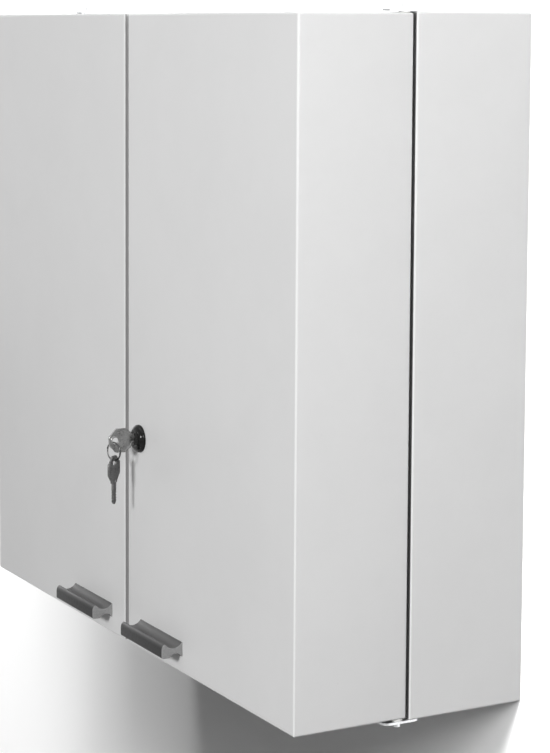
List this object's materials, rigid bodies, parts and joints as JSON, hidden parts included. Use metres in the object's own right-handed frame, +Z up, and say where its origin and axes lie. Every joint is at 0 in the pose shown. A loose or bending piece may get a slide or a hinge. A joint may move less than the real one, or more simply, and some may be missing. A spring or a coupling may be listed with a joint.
{
  "type": "lockable medicine cabinet",
  "caption": "Wall-mounted steel medicine cabinet with two deep pan doors on pin hinges, trays and shelves inside, dark pull grips and a cam lock with key and spare.",
  "frame": {"origin": "centre of the four wall holes, on the plane of the wall", "axes": "+X to the viewer's right, +Y into the wall, so the doors face -Y, +Z up"},
  "size_m": [0.65, 0.2639, 0.6121],
  "materials": {
    "painted_steel": "satin light-grey powder coat on folded sheet steel",
    "zinc_steel": "bright zinc plate",
    "grip_plastic": "anthracite extruded plastic",
    "lock_black": "glossy black lacquered rosette",
    "plug_nickel": "nickel plate",
    "key_nickel": "stamped nickel-plated steel, worn",
    "ring_steel": "hard drawn steel wire",
    "brass": "stamped sheet",
    "bush_plastic": "moulded polyamide",
    "catch_plastic": "moulded plastic housing",
    "buffer_rubber": "soft self-adhesive rubber"
  },
  "bodies": {
    "cabinet": {"carcase": "painted_steel", "back_panel": "painted_steel", "shelf_upright_left_rear": "painted_steel", "shelf_upright_left_front": "painted_steel", "shelf_upright_right_rear": "painted_steel", "shelf_upright_right_front": "painted_steel", "shelf_lower": "painted_steel", "shelf_middle": "painted_steel", "shelf_upper": "painted_steel", "shelf_clips": "zinc_steel", "hinge_plate_top_left": "zinc_steel", "hinge_plate_bottom_left": "zinc_steel", "hinge_plate_top_right": "zinc_steel", "hinge_plate_bottom_right": "zinc_steel", "hinge_plate_rivets": "zinc_steel", "hinge_pin_top_left": "zinc_steel", "hinge_pin_bottom_left": "zinc_steel", "hinge_pin_top_right": "zinc_steel", "hinge_pin_bottom_right": "zinc_steel", "door_buffers": "buffer_rubber", "magnet_catch_left": "catch_plastic", "magnet_catch_right": "catch_plastic", "catch_poles": "zinc_steel", "catch_screws": "zinc_steel"},
    "left_door": {"left_door_shell": "painted_steel", "left_door_brackets": "zinc_steel", "left_door_bushes": "bush_plastic", "left_door_tray_lower": "painted_steel", "left_door_tray_middle": "painted_steel", "left_door_tray_upper": "painted_steel", "left_door_guard_rods": "zinc_steel", "left_handle": "grip_plastic", "left_handle_screws": "zinc_steel", "left_strike_plate": "zinc_steel", "lock_keeper": "zinc_steel"},
    "right_door": {"right_door_shell": "painted_steel", "right_door_brackets": "zinc_steel", "right_door_bushes": "bush_plastic", "right_door_tray_lower": "painted_steel", "right_door_tray_middle": "painted_steel", "right_door_tray_upper": "painted_steel", "right_door_guard_rods": "zinc_steel", "right_handle": "grip_plastic", "right_handle_screws": "zinc_steel", "right_strike_plate": "zinc_steel", "lock_housing": "lock_black", "lock_nut": "zinc_steel"},
    "lock_cylinder": {"lock_plug": "plug_nickel", "lock_wafers": "brass", "wafer_springs": "zinc_steel", "lock_cam": "zinc_steel", "cam_screw": "zinc_steel"},
    "key": {"key_in_lock": "key_nickel"},
    "ring": {"key_ring": "ring_steel"},
    "spare": {"spare_key": "key_nickel"}
  },
  "joints": [
    {"name": "left_door_swing", "type": "hinge", "parent": "cabinet", "child": "left_door", "pos_m": [-0.319, -0.124, 0], "axis": [0, 0, -1], "range_deg": [0, 105]},
    {"name": "right_door_swing", "type": "hinge", "parent": "cabinet", "child": "right_door", "pos_m": [0.319, -0.124, 0], "axis": [0, 0, 1], "range_deg": [0, 105]},
    {"name": "lock_turn", "type": "hinge", "parent": "right_door", "child": "lock_cylinder", "pos_m": [0.0295, -0.228, -0.097], "axis": [0, 1, 0], "range_deg": [0, 90]},
    {"name": "key_slide", "type": "slide", "parent": "lock_cylinder", "child": "key", "axis": [0, -1, 0], "range_m": [0, 0.021]},
    {"name": "ring_hang", "type": "hinge", "parent": "key", "child": "ring", "pos_m": [0.0292, -0.2545, -0.104], "axis": [0, 1, 0], "range_deg": [-90, 0]},
    {"name": "spare_swing", "type": "hinge", "parent": "ring", "child": "spare", "pos_m": [0.0292, -0.2545, -0.1153], "axis": [-0.7771, -0.6293, 0], "range_deg": [-40, 40]}
  ],
  "couplings": [
    {"joint": "ring_hang", "follows": "lock_turn", "ratio": -1}
  ]
}
